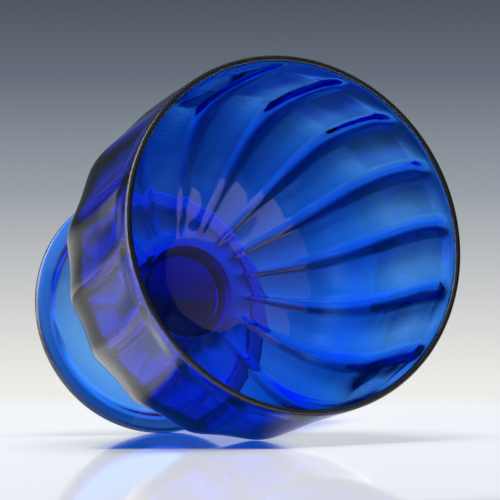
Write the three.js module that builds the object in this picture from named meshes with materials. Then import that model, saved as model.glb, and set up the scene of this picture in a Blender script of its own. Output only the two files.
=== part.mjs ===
// Footed sugar bowl in blown glass: a rib-moulded bowl on a short waisted stem, and a foot
// whose edge is folded under. Each was shaped from its own gather of glass and joined hot.
// Millimetres, +Z up. The origin is the centre of the ring that the foot rests on.
import * as THREE from 'three';

// Foot
const footRadius = 40.4;          // to the outside of the folded edge
const footHeight = 13;            // from the resting ring to the seat of the stem
const footPlate = 1.5;            // single thickness of the foot
const foldWidth = 5.8;            // how far the edge is turned under
const foldThickness = 1.9;        // the layer that is turned under
const edgeRound = 1;              // how far the rounded edge stands out from the resting ring
const footCrown = 3.6;            // glass between the hollow underneath and the stem
const footSweep = 3.5;            // how far out the foot's top turns up into the stem

// Stem
const stemLength = 16.5;
const waistRadius = 11.3;         // narrowest, halfway up
const stemFootRadius = 14;        // where it meets the foot
const stemBowlRadius = 15;        // where it meets the bowl

// Bowl, across the crests of its ribs
const bowlHeight = 83;            // from the seat on the stem to the top of the lip
const rimRadius = 52;
const bellySwell = 1;             // how far the belly stands out beyond the rim
const undersideAngle = 25;        // degrees that the underside rises from level
const shoulderRound = 28;         // how far the shoulder's curve reaches either way
const wallThickness = 1.6;
const lipThickness = 1.8;
const underThickness = 3.3;       // of the conical underside
const floorThickness = 2.6;       // in the middle, above the stem
const floorRound = 9;             // how far the floor's curve runs up the underside

// Ribs
const ribCount = 16;
const ribOutside = 1.1;           // crest over the middle of the nearly flat panel beside it, outside
const ribInside = 0.8;            // the same inside
const ribTwist = 7.5;             // degrees that a rib leans away from its middle, at each end
const ribPlainLip = 2;            // plain band below the lip
const ribFade = 8;                // how far a rib takes to fade below that band
const ribRise = 9;                // how far from the stem a rib takes to rise

const bellyRadius = rimRadius + bellySwell;

const blueGlass = { color: 0x1c4fcf, roughness: 0.04, metalness: 0 };

// How finely the faces follow the curves
const turnSegments = 48;
const segmentsPerRib = 6;
const bowlSteps = 14;
const stemSteps = 8;
const footSteps = 5;
const lipSteps = 4;

function glassPiece(name, geometry, height) {
  const mesh = new THREE.Mesh(geometry, new THREE.MeshStandardMaterial(blueGlass));
  mesh.name = name;
  mesh.position.z = height;
  return mesh;
}

// Turns an outline of (radius, height) points about the upright axis.
function turned(outline, segments) {
  return new THREE.LatheGeometry(outline, segments).rotateX(Math.PI / 2);
}

// Where the handles of the stem's side curve lie, so that it passes through the waist halfway up.
const stemPull = (8 * waistRadius - stemFootRadius - stemBowlRadius) / 6;

function stemOutline() {
  const outline = new THREE.Path();
  outline.moveTo(0, 0);
  outline.lineTo(stemFootRadius, 0);
  outline.bezierCurveTo(stemPull, stemLength / 3, stemPull, stemLength * 2 / 3, stemBowlRadius, stemLength);
  outline.lineTo(0, stemLength);
  return outline.getPoints(stemSteps);
}

// From the middle of the hollow underneath, round the folded edge, and up in line with the stem's side.
function footOutline() {
  const foldInner = footRadius - foldWidth;
  const ringOuter = footRadius - edgeRound;
  const edgeHeight = footPlate + foldThickness;
  const hollowHeight = footHeight - footCrown;
  const stemSlope = stemLength / 3 / (stemFootRadius - stemPull);
  const sweepHeight = footHeight - footSweep * stemSlope;
  const outline = new THREE.Path();
  outline.moveTo(0, hollowHeight);
  outline.quadraticCurveTo(stemFootRadius, hollowHeight, foldInner, foldThickness);
  outline.quadraticCurveTo(foldInner, 0, foldInner + foldThickness / 2, 0);
  outline.lineTo(ringOuter, 0);
  outline.absellipse(ringOuter, edgeHeight / 2, edgeRound, edgeHeight / 2, -Math.PI / 2, Math.PI / 2, false);
  outline.quadraticCurveTo(stemFootRadius + footSweep, sweepHeight, stemFootRadius, footHeight);
  outline.lineTo(0, footHeight);
  return outline.getPoints(footSteps);
}

// Height of the bowl's cone-shaped underside at a radius, above the seat on the stem.
function undersideHeight(radius) {
  return (radius - stemBowlRadius) * Math.tan(THREE.MathUtils.degToRad(undersideAngle));
}

// One side of the bowl: up the cone, round the shoulder, and up the wall to the lip.
function bowlSide(outline, radius, lift, lipRadius) {
  const angle = THREE.MathUtils.degToRad(undersideAngle);
  const corner = undersideHeight(radius) + lift;
  const coneEnd = radius - shoulderRound * Math.cos(angle);
  const wallStart = corner + shoulderRound;
  const lipStart = bowlHeight - lipThickness / 2;
  outline.lineTo(coneEnd, undersideHeight(coneEnd) + lift);
  outline.quadraticCurveTo(radius, corner, radius, wallStart);
  outline.quadraticCurveTo(radius, (wallStart + lipStart) / 2, lipRadius, lipStart);
}

function bowlOutside() {
  const outline = new THREE.Path();
  outline.moveTo(stemBowlRadius, 0);
  bowlSide(outline, bellyRadius, 0, rimRadius);
  return outline;
}

function bowlInside() {
  const angle = THREE.MathUtils.degToRad(undersideAngle);
  const lift = underThickness / Math.cos(angle);
  const floorEdge = stemBowlRadius + (floorThickness - lift) / Math.tan(angle);
  const coneStart = floorEdge + floorRound * Math.cos(angle);
  const outline = new THREE.Path();
  outline.moveTo(0, floorThickness);
  outline.quadraticCurveTo(floorEdge, floorThickness, coneStart, undersideHeight(coneStart) + lift);
  bowlSide(outline, bellyRadius - wallThickness, lift, rimRadius - lipThickness);
  return outline;
}

// The rounded lip, over the top from outside to inside.
function lipPoints() {
  const radius = lipThickness / 2;
  const lip = new THREE.Path();
  lip.absarc(rimRadius - radius, bowlHeight - radius, radius, 0, Math.PI, false);
  return lip.getSpacedPoints(lipSteps).slice(1, -1);
}

// How much of its full height a rib has at a point of the outline, from 0 to 1.
function ribStrength(radius, height) {
  const fadeEnd = bowlHeight - ribPlainLip;
  const risen = THREE.MathUtils.smoothstep(radius, stemBowlRadius, stemBowlRadius + ribRise);
  const faded = THREE.MathUtils.smoothstep(height, fadeEnd - ribFade, fadeEnd);
  return risen * (1 - faded);
}

// The turn of a rib about the axis: none at the shoulder, and most at the stem and the lip.
function ribTurn(radius, height) {
  const low = stemBowlRadius;
  const high = rimRadius + bowlHeight;
  const along = THREE.MathUtils.clamp((radius + height - low) / (high - low) * 2 - 1, -1, 1);
  return -THREE.MathUtils.degToRad(ribTwist) * along ** 3;
}

// 1 on the crest of a rib and 0 midway between two, with nearly flat panels in between.
function ribCrest(angle) {
  const halfPanel = Math.PI / ribCount;
  const fromCrest = THREE.MathUtils.euclideanModulo(angle + halfPanel, 2 * halfPanel) - halfPanel;
  return (1 - Math.abs(fromCrest) / halfPanel) ** 2;
}

// Turns the bowl's outline, then presses the ribs into both faces and leans them.
function ribbedBowl() {
  const outside = [new THREE.Vector2(0, 0), ...bowlOutside().getSpacedPoints(bowlSteps)];
  const inside = bowlInside().getSpacedPoints(bowlSteps).reverse();
  const outline = [...outside, ...lipPoints(), ...inside];
  const segments = ribCount * segmentsPerRib;
  const geometry = new THREE.LatheGeometry(outline, segments);
  const place = geometry.attributes.position;
  for (let index = 0; index < place.count; index += 1) {
    const row = index % outline.length;
    const turn = Math.floor(index / outline.length) % segments;
    const { x: radius, y: height } = outline[row];
    const angle = (turn / segments) * 2 * Math.PI;
    const strength = ribStrength(radius, height);
    const depth = row < outside.length ? ribOutside : ribInside;
    const cut = strength * depth * (1 - ribCrest(angle));
    const lean = angle + ribTurn(radius, height);
    place.setXYZ(index, (radius - cut) * Math.cos(lean), (radius - cut) * Math.sin(lean), height);
  }
  return geometry;
}

const sugarBowl = new THREE.Group();
sugarBowl.add(glassPiece('foot', turned(footOutline(), turnSegments), 0));
sugarBowl.add(glassPiece('stem', turned(stemOutline(), turnSegments), footHeight));
sugarBowl.add(glassPiece('bowl', ribbedBowl(), footHeight + stemLength));

export default sugarBowl;
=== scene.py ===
import math
import bmesh
import bpy
from mathutils import Matrix, Vector, noise


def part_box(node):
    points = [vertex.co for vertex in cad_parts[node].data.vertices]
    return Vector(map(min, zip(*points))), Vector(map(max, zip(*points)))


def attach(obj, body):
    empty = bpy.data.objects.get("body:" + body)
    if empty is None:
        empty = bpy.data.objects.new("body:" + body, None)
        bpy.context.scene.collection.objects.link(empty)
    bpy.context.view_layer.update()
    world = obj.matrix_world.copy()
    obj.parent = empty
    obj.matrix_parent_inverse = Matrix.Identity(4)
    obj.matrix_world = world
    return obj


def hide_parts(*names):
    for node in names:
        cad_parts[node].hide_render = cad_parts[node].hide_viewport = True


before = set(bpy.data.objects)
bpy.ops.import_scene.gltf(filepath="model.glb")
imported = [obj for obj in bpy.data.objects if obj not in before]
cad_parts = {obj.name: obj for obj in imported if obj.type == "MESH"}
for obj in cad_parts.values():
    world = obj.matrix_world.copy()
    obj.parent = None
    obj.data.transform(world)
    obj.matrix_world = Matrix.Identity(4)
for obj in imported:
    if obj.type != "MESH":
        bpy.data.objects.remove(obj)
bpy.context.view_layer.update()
print("frame loaded, nodes:", len(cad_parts))

# A footed sugar bowl in cobalt-blue blown glass. It stands upright in the frame, and the camera and the
# table are tilted round it, so that it lies on its side in the picture. Lengths are in millimetres.
mm = 0.001
weld = 0.0001                 # points nearer to each other than this become one


def linear(hexText):
    # an sRGB hex colour as linear red, green and blue, with alpha
    out = []
    for i in (0, 2, 4):
        c = int(hexText[i:i + 2], 16) / 255
        out.append(c / 12.92 if c <= 0.04045 else ((c + 0.055) / 1.055) ** 2.4)
    return (*out, 1.0)


def addNode(tree, kind, settings=None, links=None):
    # a setting is an input of the node, by its name or number, or one of the node's own options
    node = tree.nodes.new(kind)
    for name, value in (settings or {}).items():
        if isinstance(name, int) or name in node.inputs:
            node.inputs[name].default_value = value
        else:
            setattr(node, name, value)
    for name, source in (links or {}).items():
        tree.links.new(source, node.inputs[name])
    return node


def heightOf(node):
    low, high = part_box(node)
    return (high.z - low.z) / mm


def smoothStep(value, low, high):
    t = min(max((value - low) / (high - low), 0.0), 1.0)
    return t * t * (3 - 2 * t)


def curve(controls, steps):
    # points of the quadratic or cubic curve with these control points, the first left out
    out = []
    for i in range(1, steps + 1):
        points = [Vector(c) for c in controls]
        while len(points) > 1:
            points = [a.lerp(b, i / steps) for a, b in zip(points, points[1:])]
        out.append(tuple(points[0]))
    return out


def evenly(points, spacing):
    # the same outline with its points a set distance apart
    shortest = 0.3            # of the spacing, before the last point
    out = [points[0]]
    left = spacing
    for a, b in zip(points, points[1:]):
        step = math.dist(a, b)
        while step >= left:
            k = left / step
            a = (a[0] + (b[0] - a[0]) * k, a[1] + (b[1] - a[1]) * k)
            out.append(a)
            step -= left
            left = spacing
        left -= step
    if math.dist(out[-1], points[-1]) < spacing * shortest:
        out.pop()
    out.append(points[-1])
    return out


def spun(outline, around, outer=None):
    # turns an outline of (radius, height) about the upright axis; from point number "outer" on, its
    # points are marked as the inner face
    bm = bmesh.new()
    inside = bm.verts.layers.int.new("inside")
    verts = []
    for i, (r, z) in enumerate(outline):
        v = bm.verts.new((r * mm, 0, z * mm))
        v[inside] = int(outer is not None and i >= outer)
        verts.append(v)
    edges = [bm.edges.new(pair) for pair in zip(verts, verts[1:])]
    bmesh.ops.spin(bm, geom=verts + edges, cent=(0, 0, 0), axis=(0, 0, 1), dvec=(0, 0, 0),
                   angle=2 * math.pi, steps=around, use_merge=True)
    bmesh.ops.remove_doubles(bm, verts=bm.verts[:], dist=weld * mm)
    bmesh.ops.recalc_face_normals(bm, faces=bm.faces[:])
    return bm


def finished(name, bm, material, node):
    mesh = bpy.data.meshes.new(name)
    bm.to_mesh(mesh)
    bm.free()
    for p in mesh.polygons:
        p.use_smooth = True
    mesh.materials.append(material)
    obj = bpy.data.objects.new(name, mesh)
    bpy.context.scene.collection.objects.link(obj)
    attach(obj, "root")
    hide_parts(node)
    print(name, "faces", len(mesh.polygons))


# Soda-lime glass coloured with cobalt, blown and fire-polished: clear, smooth and glossy, with the faint
# waviness of worked glass, and a deeper blue wherever the light goes through more of it.
glass = {
    "ior": 1.52,
    "roughness": 0.0,
    "waveLength": 16.667,
    "waveHeight": 0.4,
    "waveStrength": 0.25,
    "sample": 3.0,            # a sample of this thickness shows white light in the colours below
    "bowl": "1965e6",
    "stem": "2775e6",
    "foot": "4592f6",
}


def cobaltGlass(name, sampleColour):
    # how fast red, green and blue are lost, per metre
    loss = [-math.log(c) / (glass["sample"] * mm) for c in linear(sampleColour)[:3]]
    density = max(loss)
    kept = [1 - c / density for c in loss]
    mat = bpy.data.materials.new(name)
    mat.use_nodes = True
    tree = mat.node_tree
    tree.nodes.clear()
    place = addNode(tree, "ShaderNodeTexCoord")
    waves = addNode(tree, "ShaderNodeTexNoise",
                    {"Scale": 1 / (glass["waveLength"] * mm), "Detail": 2.0, "Roughness": 0.5},
                    {"Vector": place.outputs["Object"]})
    bump = addNode(tree, "ShaderNodeBump",
                   {"Strength": glass["waveStrength"], "Distance": glass["waveHeight"] * mm},
                   {"Height": waves.outputs["Fac"]})
    surface = addNode(tree, "ShaderNodeBsdfPrincipled",
                      {"Base Color": (1, 1, 1, 1), "Roughness": glass["roughness"], "IOR": glass["ior"],
                       "Transmission Weight": 1.0},
                      {"Normal": bump.outputs["Normal"]})
    inside = addNode(tree, "ShaderNodeVolumeAbsorption", {"Color": (*kept, 1), "Density": density})
    addNode(tree, "ShaderNodeOutputMaterial", None,
            {"Surface": surface.outputs["BSDF"], "Volume": inside.outputs["Volume"]})
    return mat


stem = {
    "length": heightOf("stem"),
    "waist": 11.3,            # narrowest radius, halfway up
    "footEnd": 14.0,
    "bowlEnd": 15.0,
    "sink": 0.12,             # how far its ends reach into the foot and the bowl
    "inset": 0.25,
    "rows": 48,
    "around": 128,
}
# where the handles of the stem's side curve lie, so that it passes through the waist
stemPull = (8 * stem["waist"] - stem["footEnd"] - stem["bowlEnd"]) / 6

foot = {
    "radius": 40.4,           # to the outside of the folded edge
    "height": heightOf("foot"),
    "plate": 1.5,             # single thickness of the glass
    "foldWidth": 5.8,
    "foldThickness": 1.9,
    "ease": (1.4, 2.09),      # where the hollow underneath ends: in from the fold's inner edge, and up
    "tuck": (0.3, 1.71),      # what rounds the fold's inner edge, measured in the same way
    "landing": 0.8,           # where that edge meets the table, out from it
    "edgeRound": 1.0,
    "crown": 3.6,             # glass between the hollow and the stem
    "sweep": 3.5,             # how far out the top turns up into the stem
    "steps": {"hollow": 60, "fold": 24, "edge": 32, "top": 80},
    "spacing": 0.55,
    "around": 192,
}


def makeFoot():
    steps = foot["steps"]
    foldInner = foot["radius"] - foot["foldWidth"]
    ring = foot["radius"] - foot["edgeRound"]
    edge = foot["plate"] + foot["foldThickness"]
    middle = (0, foot["height"] - foot["crown"])
    hollowEnd = (foldInner - foot["ease"][0], foot["ease"][1])
    tuck = (foldInner - foot["tuck"][0], foot["tuck"][1])
    slope = stem["length"] / 3 / (stem["footEnd"] - stemPull)
    sweep = (stem["footEnd"] + foot["sweep"], foot["height"] - foot["sweep"] * slope)
    outline = [middle]
    outline += curve([middle, (stem["footEnd"], middle[1]), hollowEnd], steps["hollow"])
    outline += curve([hollowEnd, tuck, (foldInner, 0), (foldInner + foot["landing"], 0)], steps["fold"])
    outline.append((ring, 0))
    for i in range(1, steps["edge"] + 1):
        a = math.pi * (i / steps["edge"] - 0.5)
        outline.append((ring + foot["edgeRound"] * math.cos(a), edge / 2 * (1 + math.sin(a))))
    outline += curve([(ring, edge), sweep, (stem["footEnd"], foot["height"])], steps["top"])
    outline = evenly(outline, foot["spacing"])
    outline.append((0, foot["height"]))
    bm = spun(outline, foot["around"])
    finished("foldedFoot", bm, cobaltGlass("spunCobaltGlass", glass["foot"]), "foot")


def makeStem():
    low = foot["height"]
    high = low + stem["length"]
    third = stem["length"] / 3
    outline = [(0, low - stem["sink"]), (stem["footEnd"] - stem["inset"], low - stem["sink"])]
    outline.append((stem["footEnd"], low))
    outline += curve([(stem["footEnd"], low), (stemPull, low + third), (stemPull, low + 2 * third),
                      (stem["bowlEnd"], high)], stem["rows"])
    outline += [(stem["bowlEnd"] - stem["inset"], high + stem["sink"]), (0, high + stem["sink"])]
    bm = spun(outline, stem["around"])
    finished("waistedStem", bm, cobaltGlass("solidCobaltGlass", glass["stem"]), "stem")


bowl = {
    "height": heightOf("bowl"),
    "rim": 52.0,              # radii across the crests of the ribs
    "belly": 53.0,
    "underside": 25.0,        # degrees that the underside rises from level
    "shoulder": 28.0,         # how far the shoulder's curve reaches either way
    "wall": 1.6,
    "lip": 1.8,
    "under": 3.3,             # thickness of the underside
    "floor": 2.6,
    "floorRound": 9.0,        # how far the floor's curve runs up the underside
    "steps": {"side": 60, "floor": 30, "lip": 12},
    "spacing": 0.9,
    "around": 384,
}
ribs = {
    "count": 16,
    "outside": {"depth": 1.1, "soft": 0.32, "waver": 0.10},      # "soft" rounds the crests
    "inside": {"depth": 0.8, "soft": 0.10, "waver": 0.04},
    "ridge": 0.9,             # narrow ridge along the inside of each crest
    "ridgeWidth": 0.36,       # of half a panel, to either side
    "twist": 7.5,             # degrees that a rib leans away from its middle, at each end
    "drift": 3.3,             # degrees by which the spacing wanders round the bowl
    "driftAt": 207,
    "plainLip": 2.0,
    "fade": 8.0,              # how far a rib takes to fade below the plain lip
    "rise": 9.0,              # how far from the stem a rib takes to rise
    "waverSize": 13.0,
    "waverShift": 9.0,        # sets the waver inside apart from the one outside
    "gather": 1.5,            # how strongly the mesh gathers at the crests
}


def underHeight(r):
    return (r - stem["bowlEnd"]) * math.tan(math.radians(bowl["underside"]))


def bowlSide(radius, lift, lipRadius):
    # up the cone, round the shoulder and up the wall to the lip
    steps = bowl["steps"]["side"]
    corner = underHeight(radius) + lift
    coneEnd = radius - bowl["shoulder"] * math.cos(math.radians(bowl["underside"]))
    wallStart = corner + bowl["shoulder"]
    lipStart = bowl["height"] - bowl["lip"] / 2
    side = [(coneEnd, underHeight(coneEnd) + lift)]
    side += curve([side[0], (radius, corner), (radius, wallStart)], steps)
    side += curve([(radius, wallStart), (radius, (wallStart + lipStart) / 2), (lipRadius, lipStart)], steps)
    return side


def ribStrength(r, z):
    end = bowl["height"] - ribs["plainLip"]
    risen = smoothStep(r, stem["bowlEnd"], stem["bowlEnd"] + ribs["rise"])
    return risen * (1 - smoothStep(z, end - ribs["fade"], end))


def ribTurn(r, z, angle):
    # how far the rib at this angle is turned, by its lean and by the wandering of the spacing
    low = stem["bowlEnd"]
    high = bowl["rim"] + bowl["height"]
    part = min(max((r + z - low) / (high - low) * 2 - 1, -1), 1)
    drift = ribs["drift"] * math.cos(2 * (angle - math.radians(ribs["driftAt"])))
    return math.radians(drift - ribs["twist"] * part ** 3)


def crestShape(fromCrest, soft):
    # 1 on a rib's crest, falling in a shallow hollow to 0 midway between two ribs
    s = (math.hypot(fromCrest, soft) - soft) / (math.hypot(1, soft) - soft)
    return (1 - s) ** 2


def gathered(angle):
    # draws the steps of the turn in towards the crests, where the shape is finest, and says how far
    # from the crest the new angle is, as a part of half a panel
    turn = math.pi / ribs["count"]
    u = ((angle + turn) % (2 * turn) - turn) / turn
    near = math.copysign(abs(u) ** ribs["gather"], u)
    return angle + (near - u) * turn, abs(near)


def pressRibs(bm):
    inside = bm.verts.layers.int["inside"]
    for v in bm.verts:
        r = math.hypot(v.co.x, v.co.y) / mm
        z = v.co.z / mm
        face = ribs["inside"] if v[inside] else ribs["outside"]
        angle, fromCrest = gathered(math.atan2(v.co.y, v.co.x))
        cut = face["depth"] * (1 - crestShape(fromCrest, face["soft"]))
        if v[inside]:
            cut += ribs["ridge"] * max(0.0, 1 - (fromCrest / ribs["ridgeWidth"]) ** 2) ** 2
        at = v.co / (ribs["waverSize"] * mm) + Vector((0, 0, ribs["waverShift"] * v[inside]))
        cut += face["waver"] * noise.noise(at)
        pressed = r - max(ribStrength(r, z) * cut, 0.0)
        turned = angle + ribTurn(r, z, angle)
        v.co.x = pressed * math.cos(turned) * mm
        v.co.y = pressed * math.sin(turned) * mm


def makeBowl():
    slope = math.radians(bowl["underside"])
    outside = evenly([(stem["bowlEnd"], 0)] + bowlSide(bowl["belly"], 0, bowl["rim"]), bowl["spacing"])
    lift = bowl["under"] / math.cos(slope)
    floorEdge = stem["bowlEnd"] + (bowl["floor"] - lift) / math.tan(slope)
    coneStart = floorEdge + bowl["floorRound"] * math.cos(slope)
    inner = [(0, bowl["floor"])]
    inner += curve([inner[0], (floorEdge, bowl["floor"]), (coneStart, underHeight(coneStart) + lift)],
                   bowl["steps"]["floor"])
    inner += bowlSide(bowl["belly"] - bowl["wall"], lift, bowl["rim"] - bowl["lip"])
    inner = evenly(inner, bowl["spacing"])[::-1]
    r = bowl["lip"] / 2
    lip = []
    for i in range(1, bowl["steps"]["lip"]):
        a = math.pi * i / bowl["steps"]["lip"]
        lip.append((bowl["rim"] - r + r * math.cos(a), bowl["height"] - r + r * math.sin(a)))
    bm = spun([(0, 0)] + outside + lip + inner, bowl["around"], len(outside) + 1)
    pressRibs(bm)
    bmesh.ops.translate(bm, verts=bm.verts[:], vec=(0, 0, (foot["height"] + stem["length"]) * mm))
    finished("ribbedBowl", bm, cobaltGlass("blownCobaltGlass", glass["bowl"]), "bowl")


makeFoot()
makeStem()
makeBowl()

# The camera was fitted to the rim and the foot as the photo shows them.
view = {
    "turn": -25.9,            # degrees that all of this goes round the bowl's axis, to suit the ribs
    "position": (2.12, 300.3, 652.44),
    "right": (-0.4744, -0.7793, 0.4095),
    "up": (0.8803, -0.4199, 0.2207),
    "lens": 158.4,
    "sensor": 36,
    "near": 20,
    "far": 50000,
}
spin = Matrix.Rotation(math.radians(view["turn"]), 3, "Z")
right = (spin @ Vector(view["right"])).normalized()
up = spin @ Vector(view["up"])
up = (up - right * up.dot(right)).normalized()
back = right.cross(up)
camPlace = Matrix((right, up, back)).transposed().to_4x4()
camPlace.translation = (spin @ Vector(view["position"])) * mm
cam = bpy.data.objects.new("camera", bpy.data.cameras.new("camera"))
cam.data.lens = view["lens"]
cam.data.sensor_width = view["sensor"]
cam.data.clip_start = view["near"] * mm
cam.data.clip_end = view["far"] * mm
cam.matrix_world = camPlace
bpy.context.scene.collection.objects.link(cam)
bpy.context.scene.camera = cam
print("camera placed")

# Pale polished acrylic sheet, glossy and nearly white, with clear reflections and a painted glow of its own
# that lifts the shade on it.
table = {
    "contact": 128.7,         # degrees round the bowl's axis to where the belly touches the table
    "lean": 10.48,            # degrees between that axis and the table
    "distance": 39.39,        # from the origin to the table
    "size": 3000,
    "colour": "b4b5b8",
    # painted light: the table glows by itself in this colour, which evens out the shade on it
    "glow": "f2f3f7",
    "paintedGlowStrength": 0.36,
    "roughness": 0.05,
    "ior": 1.49,
    "farEdge": 3.9,           # degrees below the camera's level at which the table ends
    "farSoft": 4.1,
}
# An edge on the table has a start, an end and a softness. Its points are (across, along), from where the
# table is nearest to the origin. With across pointing right, an edge bounds what is to the right of it.
# Painted light and shadow: inside these edges, the blue light that falls through the bowl and the bowl's
# shade on the table are painted into the table's colour and glow.
paintedBlueLight = {
    "colour": "1f63e8",       # of the light that falls through the bowl
    "edges": (((-33.6, 101.3), (-4.1, 128.9), 4), ((6, -10), (-52, 84), 6), ((80, -30), (0, -30), 20)),
    "either": (((-10, 123), (11, 64), 6), ((11, 64), (70, -12), 10)),      # one of these two is enough
}
# Painted shade: the table's colour and glow are darkened where the light falls off, to the left and near
# the camera.
paintedShade = {                    # where the light falls off, just outside the picture
    "left": ((-165, 235), (63, -467), 30),
    "leftShadeColour": "939499",
    "near": ((200, 318), (-200, 318), 30),
    "nearShadeColour": "6e6f72",
}
away = math.radians(table["contact"])
lean = math.radians(table["lean"])
tableUp = Vector((0, 0, math.sin(lean))) - Vector((math.cos(away), math.sin(away), 0)) * math.cos(lean)
along = (Vector((0, 0, 1)) - tableUp * tableUp.z).normalized()
across = tableUp.cross(along)
tableMiddle = -tableUp * table["distance"] * mm


def paleAcrylic():
    mat = bpy.data.materials.new("glossyPaleAcrylic")
    mat.use_nodes = True
    tree = mat.node_tree
    tree.nodes.clear()
    place = addNode(tree, "ShaderNodeTexCoord").outputs["Object"]

    def beyond(normal, at, soft):
        # 0 before a plane and 1 beyond it
        reach = addNode(tree, "ShaderNodeVectorMath", {"operation": "DOT_PRODUCT", 1: normal}, {0: place})
        step = addNode(tree, "ShaderNodeMapRange",
                       {"interpolation_type": "SMOOTHSTEP", "From Min": at - soft * mm,
                        "From Max": at + soft * mm},
                       {"Value": reach.outputs["Value"]})
        return step.outputs["Result"]

    def rightOf(start, end, soft):
        edge = (Vector(end) - Vector(start)).normalized()
        normal = across * edge.y - along * edge.x
        at = (tableMiddle + (across * start[0] + along * start[1]) * mm).dot(normal)
        return beyond(normal, at, soft)

    # the painted blue light and shadow under the bowl
    either = [rightOf(*edge) for edge in paintedBlueLight["either"]]
    blue = addNode(tree, "ShaderNodeMath", {"operation": "MAXIMUM"}, {0: either[0], 1: either[1]})
    for edge in paintedBlueLight["edges"]:
        blue = addNode(tree, "ShaderNodeMath", {"operation": "MULTIPLY"},
                       {0: blue.outputs[0], 1: rightOf(*edge)})
    # painted light and shade: the blue light and shadow under the bowl, and the shade at the left and near
    # edges, mixed into the table's colour and its glow
    tints = ((blue.outputs[0], paintedBlueLight["colour"]), (rightOf(*paintedShade["left"]), paintedShade["leftShadeColour"]),
             (rightOf(*paintedShade["near"]), paintedShade["nearShadeColour"]))
    painted = []
    for plain in (table["colour"], table["glow"]):
        source = None
        for share, colour in tints:
            mix = addNode(tree, "ShaderNodeMix", {"data_type": "RGBA", 6: linear(plain), 7: linear(colour)},
                          {"Factor": share})
            if source:
                tree.links.new(source, mix.inputs[6])
            source = mix.outputs[2]
        painted.append(source)
    # the emission is the table's painted glow
    surface = addNode(tree, "ShaderNodeBsdfPrincipled",
                      {"Roughness": table["roughness"], "IOR": table["ior"],
                       "Emission Strength": table["paintedGlowStrength"]},
                      {"Base Color": painted[0], "Emission Color": painted[1]})
    # nothing of the table shows past its far edge, or from underneath
    far = math.radians(table["farEdge"])
    farNormal = up * math.cos(far) - back * math.sin(far)
    pastEdge = beyond(farNormal, farNormal.dot(camPlace.translation), table["farSoft"])
    side = addNode(tree, "ShaderNodeNewGeometry")
    gone = addNode(tree, "ShaderNodeMath", {"operation": "MAXIMUM"},
                   {0: side.outputs["Backfacing"], 1: pastEdge})
    clear = addNode(tree, "ShaderNodeBsdfTransparent")
    both = addNode(tree, "ShaderNodeMixShader", None,
                   {0: gone.outputs[0], 1: surface.outputs[0], 2: clear.outputs[0]})
    addNode(tree, "ShaderNodeOutputMaterial", None, {"Surface": both.outputs[0]})
    return mat


def makeTable():
    bm = bmesh.new()
    bmesh.ops.create_grid(bm, x_segments=1, y_segments=1, size=table["size"] * mm / 2)
    place = Matrix((along, across, tableUp)).transposed().to_4x4()
    place.translation = tableMiddle
    bmesh.ops.transform(bm, matrix=place, verts=bm.verts[:])
    mesh = bpy.data.meshes.new("paleTable")
    bm.to_mesh(mesh)
    bm.free()
    mesh.materials.append(paleAcrylic())
    tableTop = bpy.data.objects.new("paleTable", mesh)
    bpy.context.scene.collection.objects.link(tableTop)
    print("table placed")


# A plain backdrop that pales towards the table, by degrees above the camera's level.
backdrop = {
    "reach": 10.0,
    "colours": ((-3.5, "edece8"), (1.5, "989fa7"), (4.5, "656e7a"), (6.5, "4e5661")),
}
# Parts of the studio that show only in the glass and in what the table mirrors. Azimuth is in degrees to
# the right of the line of sight, and height in degrees above the camera's level. Each is full out to its
# core and gone at its reach.
room = {"azimuth": 180, "height": 0, "reach": 78.5, "core": 31.8, "colour": "9c9c9e", "strength": 1.0}
ceiling = {"azimuth": 0, "height": 90, "reach": 75.5, "core": 36.9, "colour": "e8ebf2", "strength": 0.45}
window = {"azimuth": -92, "height": 22, "reach": 48, "core": 18, "colour": "ffffff", "strength": 4.5}


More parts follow.
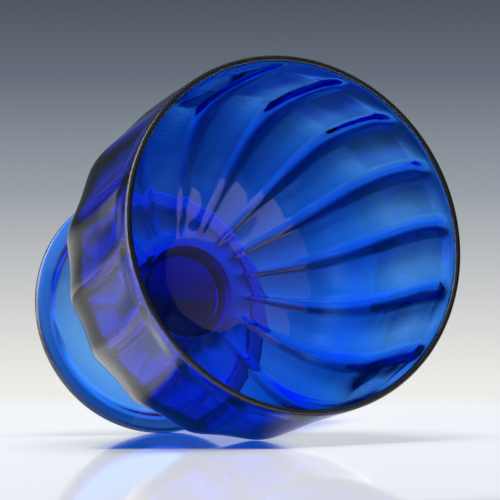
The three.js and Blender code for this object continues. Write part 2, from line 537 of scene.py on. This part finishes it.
def makeWorld():
    world = bpy.data.worlds.new("studio")
    bpy.context.scene.world = world
    world.use_nodes = True
    tree = world.node_tree
    tree.nodes.clear()
    sight = addNode(tree, "ShaderNodeTexCoord").outputs["Generated"]
    rise = addNode(tree, "ShaderNodeVectorMath", {"operation": "DOT_PRODUCT", 1: up}, {0: sight})
    level = addNode(tree, "ShaderNodeMath", {"operation": "ARCSINE"}, {0: rise.outputs["Value"]})
    reach = math.radians(backdrop["reach"])
    span = addNode(tree, "ShaderNodeMapRange", {"From Min": -reach, "From Max": reach},
                   {"Value": level.outputs[0]})
    ramp = addNode(tree, "ShaderNodeValToRGB", None, {"Fac": span.outputs[0]})
    stops = ramp.color_ramp.elements
    stops.remove(stops[1])
    for i, (height, colour) in enumerate(backdrop["colours"]):
        at = (height / backdrop["reach"] + 1) / 2
        stop = stops.new(at) if i else stops[0]
        stop.position = at
        stop.color = linear(colour)
    plain = addNode(tree, "ShaderNodeBackground", {"Strength": 1.0}, {"Color": ramp.outputs["Color"]})
    path = addNode(tree, "ShaderNodeLightPath")
    bent = addNode(tree, "ShaderNodeMath", {"operation": "MAXIMUM"},
                   {0: path.outputs["Is Glossy Ray"], 1: path.outputs["Is Transmission Ray"]})

    def seen(light):
        # how much of the light a ray meets, if it has been mirrored or bent on its way
        az = math.radians(light["azimuth"])
        el = math.radians(light["height"])
        toward = up * math.sin(el) + (right * math.sin(az) - back * math.cos(az)) * math.cos(el)
        facing = addNode(tree, "ShaderNodeVectorMath", {"operation": "DOT_PRODUCT", 1: toward}, {0: sight})
        within = addNode(tree, "ShaderNodeMapRange",
                         {"interpolation_type": "SMOOTHSTEP",
                          "From Min": math.cos(math.radians(light["reach"])),
                          "From Max": math.cos(math.radians(light["core"]))},
                         {"Value": facing.outputs["Value"]})
        share = addNode(tree, "ShaderNodeMath", {"operation": "MULTIPLY"},
                        {0: within.outputs["Result"], 1: bent.outputs[0]})
        return share.outputs[0]

    # the dim room takes the backdrop's place, and the ceiling and the window add to both
    dim = addNode(tree, "ShaderNodeBackground",
                  {"Color": linear(room["colour"]), "Strength": room["strength"]})
    lit = addNode(tree, "ShaderNodeMixShader", None,
                  {0: seen(room), 1: plain.outputs[0], 2: dim.outputs[0]})
    for light in (ceiling, window):
        strength = addNode(tree, "ShaderNodeMath", {"operation": "MULTIPLY", 1: light["strength"]},
                           {0: seen(light)})
        glow = addNode(tree, "ShaderNodeBackground", {"Color": linear(light["colour"])},
                       {"Strength": strength.outputs[0]})
        lit = addNode(tree, "ShaderNodeAddShader", None, {0: lit.outputs[0], 1: glow.outputs[0]})
    addNode(tree, "ShaderNodeOutputWorld", None, {"Surface": lit.outputs[0]})
    print("backdrop and studio placed")


# A softbox overhead, which the glass and the table don't mirror.
softbox = {
    "size": 600,
    "power": 22,              # watts
    "above": 900,             # from the origin, along the camera's up
    "towardMouth": 50,
}


def makeSoftbox():
    light = bpy.data.lights.new("softbox", "AREA")
    light.shape = "RECTANGLE"
    light.size = softbox["size"] * mm
    light.size_y = softbox["size"] * mm
    light.energy = softbox["power"]
    lamp = bpy.data.objects.new("softbox", light)
    place = (up * softbox["above"] + Vector((0, 0, softbox["towardMouth"]))) * mm
    lamp.matrix_world = Matrix.Translation(place) @ up.to_track_quat("Z", "Y").to_matrix().to_4x4()
    lamp.visible_glossy = False
    lamp.visible_transmission = False
    bpy.context.scene.collection.objects.link(lamp)
    print("softbox placed")


makeTable()
makeWorld()
makeSoftbox()
bpy.context.scene.view_settings.view_transform = "Standard"
